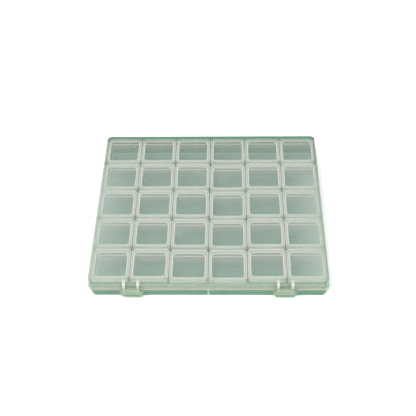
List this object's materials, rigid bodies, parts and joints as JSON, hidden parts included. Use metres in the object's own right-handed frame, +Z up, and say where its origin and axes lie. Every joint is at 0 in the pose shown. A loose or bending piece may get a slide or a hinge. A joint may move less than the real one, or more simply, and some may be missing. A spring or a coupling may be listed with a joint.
{
  "type": "compartment storage box",
  "caption": "Shallow clear plastic case with a hinged lid and two front latches, holding loose flip-top boxes for small parts.",
  "frame": {"origin": "middle of the case's underside, on the surface that it stands on", "axes": "+X along the front to the right as seen from the front, +Y from the latches to the hinged back, +Z up"},
  "size_m": [0.2144, 0.1893, 0.0237],
  "materials": {
    "case_plastic": "clear, slightly green, glossy",
    "cover_plastic": "clear, slightly green, glossy",
    "tub_plastic": "clear, slightly green, glossy",
    "latch_plastic": "clear, slightly green, glossy"
  },
  "bodies": {
    "case": {"case_base": "case_plastic", "tub_r1_c1": "tub_plastic", "tub_r1_c2": "tub_plastic", "tub_r1_c3": "tub_plastic", "tub_r1_c4": "tub_plastic", "tubs_r1_c5_c6": "tub_plastic", "tub_r2_c1": "tub_plastic", "tub_r2_c2": "tub_plastic", "tub_r2_c3": "tub_plastic", "tub_r2_c4": "tub_plastic", "tubs_r2_c5_c6": "tub_plastic", "tub_r3_c1": "tub_plastic", "tub_r3_c2": "tub_plastic", "tub_r3_c3": "tub_plastic", "tub_r3_c4": "tub_plastic", "tubs_r3_c5_c6": "tub_plastic", "tub_r4_c1": "tub_plastic", "tub_r4_c2": "tub_plastic", "tub_r4_c3": "tub_plastic", "tub_r4_c4": "tub_plastic", "tubs_r4_c5_c6": "tub_plastic", "tub_r5_c1": "tub_plastic", "tub_r5_c2": "tub_plastic", "tub_r5_c3": "tub_plastic", "tub_r5_c4": "tub_plastic", "tub_r5_c5": "tub_plastic", "tub_r5_c6": "tub_plastic"},
    "case_lid": {"case_lid": "case_plastic"},
    "latch_left": {"latch_left": "latch_plastic"},
    "latch_right": {"latch_right": "latch_plastic"},
    "cover_r1_c1": {"cover_r1_c1": "cover_plastic"},
    "cover_r1_c2": {"cover_r1_c2": "cover_plastic"},
    "cover_r1_c3": {"cover_r1_c3": "cover_plastic"},
    "cover_r1_c4": {"cover_r1_c4": "cover_plastic"},
    "cover_r1_c5": {"cover_r1_c5": "cover_plastic"},
    "cover_r1_c6": {"cover_r1_c6": "cover_plastic"},
    "cover_r2_c1": {"cover_r2_c1": "cover_plastic"},
    "cover_r2_c2": {"cover_r2_c2": "cover_plastic"},
    "cover_r2_c3": {"cover_r2_c3": "cover_plastic"},
    "cover_r2_c4": {"cover_r2_c4": "cover_plastic"},
    "cover_r2_c5": {"cover_r2_c5": "cover_plastic"},
    "cover_r2_c6": {"cover_r2_c6": "cover_plastic"},
    "cover_r3_c1": {"cover_r3_c1": "cover_plastic"},
    "cover_r3_c2": {"cover_r3_c2": "cover_plastic"},
    "cover_r3_c3": {"cover_r3_c3": "cover_plastic"},
    "cover_r3_c4": {"cover_r3_c4": "cover_plastic"},
    "cover_r3_c5": {"cover_r3_c5": "cover_plastic"},
    "cover_r3_c6": {"cover_r3_c6": "cover_plastic"},
    "cover_r4_c1": {"cover_r4_c1": "cover_plastic"},
    "cover_r4_c2": {"cover_r4_c2": "cover_plastic"},
    "cover_r4_c3": {"cover_r4_c3": "cover_plastic"},
    "cover_r4_c4": {"cover_r4_c4": "cover_plastic"},
    "cover_r4_c5": {"cover_r4_c5": "cover_plastic"},
    "cover_r4_c6": {"cover_r4_c6": "cover_plastic"},
    "cover_r5_c1": {"cover_r5_c1": "cover_plastic"},
    "cover_r5_c2": {"cover_r5_c2": "cover_plastic"},
    "cover_r5_c3": {"cover_r5_c3": "cover_plastic"},
    "cover_r5_c4": {"cover_r5_c4": "cover_plastic"},
    "cover_r5_c5": {"cover_r5_c5": "cover_plastic"},
    "cover_r5_c6": {"cover_r5_c6": "cover_plastic"}
  },
  "joints": [
    {"name": "lid_hinge", "type": "hinge", "parent": "case", "child": "case_lid", "pos_m": [0, 0.09295, 0.012], "axis": [-1, 0, 0], "range_deg": [0, 180]},
    {"name": "latch_left_hinge", "type": "hinge", "parent": "case_lid", "child": "latch_left", "pos_m": [-0.068, -0.09225, 0.0136], "axis": [-1, 0, 0], "range_deg": [0, 110]},
    {"name": "latch_right_hinge", "type": "hinge", "parent": "case_lid", "child": "latch_right", "pos_m": [0.068, -0.09225, 0.0136], "axis": [-1, 0, 0], "range_deg": [0, 110]},
    {"name": "cover_r1_c1_hinge", "type": "hinge", "parent": "case", "child": "cover_r1_c1", "pos_m": [-0.0875, 0.0839, 0.0188], "axis": [-1, 0, 0], "range_deg": [0, 95]},
    {"name": "cover_r1_c2_hinge", "type": "hinge", "parent": "case", "child": "cover_r1_c2", "pos_m": [-0.0525, 0.0839, 0.0188], "axis": [-1, 0, 0], "range_deg": [0, 95]},
    {"name": "cover_r1_c3_hinge", "type": "hinge", "parent": "case", "child": "cover_r1_c3", "pos_m": [-0.0175, 0.0839, 0.0188], "axis": [-1, 0, 0], "range_deg": [0, 95]},
    {"name": "cover_r1_c4_hinge", "type": "hinge", "parent": "case", "child": "cover_r1_c4", "pos_m": [0.0175, 0.0839, 0.0188], "axis": [-1, 0, 0], "range_deg": [0, 95]},
    {"name": "cover_r1_c5_hinge", "type": "hinge", "parent": "case", "child": "cover_r1_c5", "pos_m": [0.0525, 0.0839, 0.0188], "axis": [-1, 0, 0], "range_deg": [0, 95]},
    {"name": "cover_r1_c6_hinge", "type": "hinge", "parent": "case", "child": "cover_r1_c6", "pos_m": [0.0875, 0.0839, 0.0188], "axis": [-1, 0, 0], "range_deg": [0, 95]},
    {"name": "cover_r2_c1_hinge", "type": "hinge", "parent": "case", "child": "cover_r2_c1", "pos_m": [-0.0875, 0.0489, 0.0188], "axis": [-1, 0, 0], "range_deg": [0, 95]},
    {"name": "cover_r2_c2_hinge", "type": "hinge", "parent": "case", "child": "cover_r2_c2", "pos_m": [-0.0525, 0.0489, 0.0188], "axis": [-1, 0, 0], "range_deg": [0, 95]},
    {"name": "cover_r2_c3_hinge", "type": "hinge", "parent": "case", "child": "cover_r2_c3", "pos_m": [-0.0175, 0.0489, 0.0188], "axis": [-1, 0, 0], "range_deg": [0, 95]},
    {"name": "cover_r2_c4_hinge", "type": "hinge", "parent": "case", "child": "cover_r2_c4", "pos_m": [0.0175, 0.0474, 0.0188], "axis": [-1, 0, 0], "range_deg": [0, 95]},
    {"name": "cover_r2_c5_hinge", "type": "hinge", "parent": "case", "child": "cover_r2_c5", "pos_m": [0.0525, 0.0489, 0.0188], "axis": [-1, 0, 0], "range_deg": [0, 95]},
    {"name": "cover_r2_c6_hinge", "type": "hinge", "parent": "case", "child": "cover_r2_c6", "pos_m": [0.0875, 0.0489, 0.0188], "axis": [-1, 0, 0], "range_deg": [0, 95]},
    {"name": "cover_r3_c1_hinge", "type": "hinge", "parent": "case", "child": "cover_r3_c1", "pos_m": [-0.0875, 0.0139, 0.0188], "axis": [-1, 0, 0], "range_deg": [0, 95]},
    {"name": "cover_r3_c2_hinge", "type": "hinge", "parent": "case", "child": "cover_r3_c2", "pos_m": [-0.0525, 0.0139, 0.0188], "axis": [-1, 0, 0], "range_deg": [0, 95]},
    {"name": "cover_r3_c3_hinge", "type": "hinge", "parent": "case", "child": "cover_r3_c3", "pos_m": [-0.0175, 0.0139, 0.0188], "axis": [-1, 0, 0], "range_deg": [0, 95]},
    {"name": "cover_r3_c4_hinge", "type": "hinge", "parent": "case", "child": "cover_r3_c4", "pos_m": [0.0175, 0.0121, 0.0188], "axis": [-1, 0, 0], "range_deg": [0, 95]},
    {"name": "cover_r3_c5_hinge", "type": "hinge", "parent": "case", "child": "cover_r3_c5", "pos_m": [0.0525, 0.0139, 0.0188], "axis": [-1, 0, 0], "range_deg": [0, 95]},
    {"name": "cover_r3_c6_hinge", "type": "hinge", "parent": "case", "child": "cover_r3_c6", "pos_m": [0.0875, 0.0139, 0.0188], "axis": [-1, 0, 0], "range_deg": [0, 95]},
    {"name": "cover_r4_c1_hinge", "type": "hinge", "parent": "case", "child": "cover_r4_c1", "pos_m": [-0.0875, -0.0211, 0.0188], "axis": [-1, 0, 0], "range_deg": [0, 95]},
    {"name": "cover_r4_c2_hinge", "type": "hinge", "parent": "case", "child": "cover_r4_c2", "pos_m": [-0.0525, -0.0211, 0.0188], "axis": [-1, 0, 0], "range_deg": [0, 95]},
    {"name": "cover_r4_c3_hinge", "type": "hinge", "parent": "case", "child": "cover_r4_c3", "pos_m": [-0.0175, -0.0216, 0.0188], "axis": [-1, 0, 0], "range_deg": [0, 95]},
    {"name": "cover_r4_c4_hinge", "type": "hinge", "parent": "case", "child": "cover_r4_c4", "pos_m": [0.0175, -0.0228, 0.0188], "axis": [-1, 0, 0], "range_deg": [0, 95]},
    {"name": "cover_r4_c5_hinge", "type": "hinge", "parent": "case", "child": "cover_r4_c5", "pos_m": [0.0525, -0.0211, 0.0188], "axis": [-1, 0, 0], "range_deg": [0, 95]},
    {"name": "cover_r4_c6_hinge", "type": "hinge", "parent": "case", "child": "cover_r4_c6", "pos_m": [0.0875, -0.0211, 0.0188], "axis": [-1, 0, 0], "range_deg": [0, 95]},
    {"name": "cover_r5_c1_hinge", "type": "hinge", "parent": "case", "child": "cover_r5_c1", "pos_m": [-0.0875, -0.0561, 0.0188], "axis": [-1, 0, 0], "range_deg": [0, 95]},
    {"name": "cover_r5_c2_hinge", "type": "hinge", "parent": "case", "child": "cover_r5_c2", "pos_m": [-0.0525, -0.0561, 0.0188], "axis": [-1, 0, 0], "range_deg": [0, 95]},
    {"name": "cover_r5_c3_hinge", "type": "hinge", "parent": "case", "child": "cover_r5_c3", "pos_m": [-0.0175, -0.0574, 0.0188], "axis": [-1, 0, 0], "range_deg": [0, 95]},
    {"name": "cover_r5_c4_hinge", "type": "hinge", "parent": "case", "child": "cover_r5_c4", "pos_m": [0.0175, -0.0577, 0.0188], "axis": [-1, 0, 0], "range_deg": [0, 95]},
    {"name": "cover_r5_c5_hinge", "type": "hinge", "parent": "case", "child": "cover_r5_c5", "pos_m": [0.0525, -0.0561, 0.0188], "axis": [-1, 0, 0], "range_deg": [0, 95]},
    {"name": "cover_r5_c6_hinge", "type": "hinge", "parent": "case", "child": "cover_r5_c6", "pos_m": [0.0875, -0.0561, 0.0188], "axis": [-1, 0, 0], "range_deg": [0, 95]}
  ],
  "couplings": [
    {"joint": "cover_r1_c1_hinge", "follows": "lid_hinge", "ratio": 0.52778},
    {"joint": "cover_r1_c2_hinge", "follows": "lid_hinge", "ratio": 0.52778},
    {"joint": "cover_r1_c3_hinge", "follows": "lid_hinge", "ratio": 0.52778},
    {"joint": "cover_r1_c4_hinge", "follows": "lid_hinge", "ratio": 0.52778},
    {"joint": "cover_r1_c5_hinge", "follows": "lid_hinge", "ratio": 0.52778},
    {"joint": "cover_r1_c6_hinge", "follows": "lid_hinge", "ratio": 0.52778},
    {"joint": "cover_r2_c1_hinge", "follows": "lid_hinge", "ratio": 0.52778},
    {"joint": "cover_r2_c2_hinge", "follows": "lid_hinge", "ratio": 0.52778},
    {"joint": "cover_r2_c3_hinge", "follows": "lid_hinge", "ratio": 0.52778},
    {"joint": "cover_r2_c4_hinge", "follows": "lid_hinge", "ratio": 0.52778},
    {"joint": "cover_r2_c5_hinge", "follows": "lid_hinge", "ratio": 0.52778},
    {"joint": "cover_r2_c6_hinge", "follows": "lid_hinge", "ratio": 0.52778},
    {"joint": "cover_r3_c1_hinge", "follows": "lid_hinge", "ratio": 0.52778},
    {"joint": "cover_r3_c2_hinge", "follows": "lid_hinge", "ratio": 0.52778},
    {"joint": "cover_r3_c3_hinge", "follows": "lid_hinge", "ratio": 0.52778},
    {"joint": "cover_r3_c4_hinge", "follows": "lid_hinge", "ratio": 0.52778},
    {"joint": "cover_r3_c5_hinge", "follows": "lid_hinge", "ratio": 0.52778},
    {"joint": "cover_r3_c6_hinge", "follows": "lid_hinge", "ratio": 0.52778},
    {"joint": "cover_r4_c1_hinge", "follows": "lid_hinge", "ratio": 0.52778},
    {"joint": "cover_r4_c2_hinge", "follows": "lid_hinge", "ratio": 0.52778},
    {"joint": "cover_r4_c3_hinge", "follows": "lid_hinge", "ratio": 0.52778},
    {"joint": "cover_r4_c4_hinge", "follows": "lid_hinge", "ratio": 0.52778},
    {"joint": "cover_r4_c5_hinge", "follows": "lid_hinge", "ratio": 0.52778},
    {"joint": "cover_r4_c6_hinge", "follows": "lid_hinge", "ratio": 0.52778},
    {"joint": "cover_r5_c1_hinge", "follows": "lid_hinge", "ratio": 0.52778},
    {"joint": "cover_r5_c2_hinge", "follows": "lid_hinge", "ratio": 0.52778},
    {"joint": "cover_r5_c3_hinge", "follows": "lid_hinge", "ratio": 0.52778},
    {"joint": "cover_r5_c4_hinge", "follows": "lid_hinge", "ratio": 0.52778},
    {"joint": "cover_r5_c5_hinge", "follows": "lid_hinge", "ratio": 0.52778},
    {"joint": "cover_r5_c6_hinge", "follows": "lid_hinge", "ratio": 0.52778}
  ]
}
